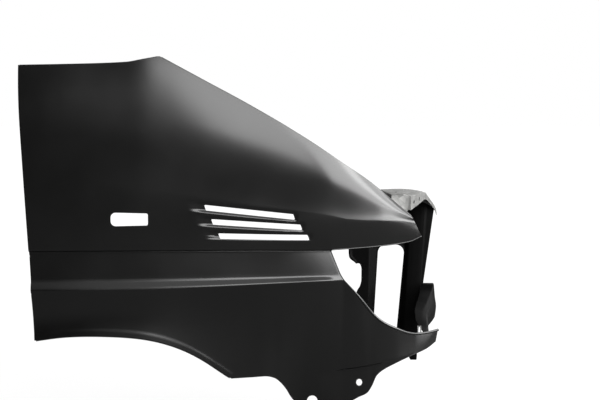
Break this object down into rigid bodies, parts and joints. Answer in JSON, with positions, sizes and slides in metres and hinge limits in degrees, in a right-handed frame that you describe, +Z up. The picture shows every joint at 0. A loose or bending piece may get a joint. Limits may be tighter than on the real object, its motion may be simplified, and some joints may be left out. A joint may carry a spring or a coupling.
{
  "type": "van front wing with lamp panel",
  "caption": "Pressed steel front wing for a van, with repeater hole, slanted louvres, lamp opening, bumper tab and the rail, wall and bar of the headlamp bay.",
  "frame": {"origin": "middle of the rear face of the folded flange that is bolted to the door pillar", "axes": "+X to the front of the van, +Y from the wing's outer side towards the engine bay, +Z up"},
  "size_m": [1.056, 0.5105, 0.8761],
  "materials": {
    "black_primer": "black satin primer",
    "inner_black": "black primer, a little duller than the skin",
    "bright_steel": "bare zinc-coated steel"
  },
  "bodies": {
    "root": {"wing_skin": "black_primer", "bonnet_gutter": "bright_steel", "lamp_top_rail": "bright_steel", "lamp_inner_wall": "inner_black", "upper_wall_brace": "inner_black", "lower_front_bar": "inner_black", "lamp_clip_bracket": "bright_steel"}
  },
  "joints": []
}
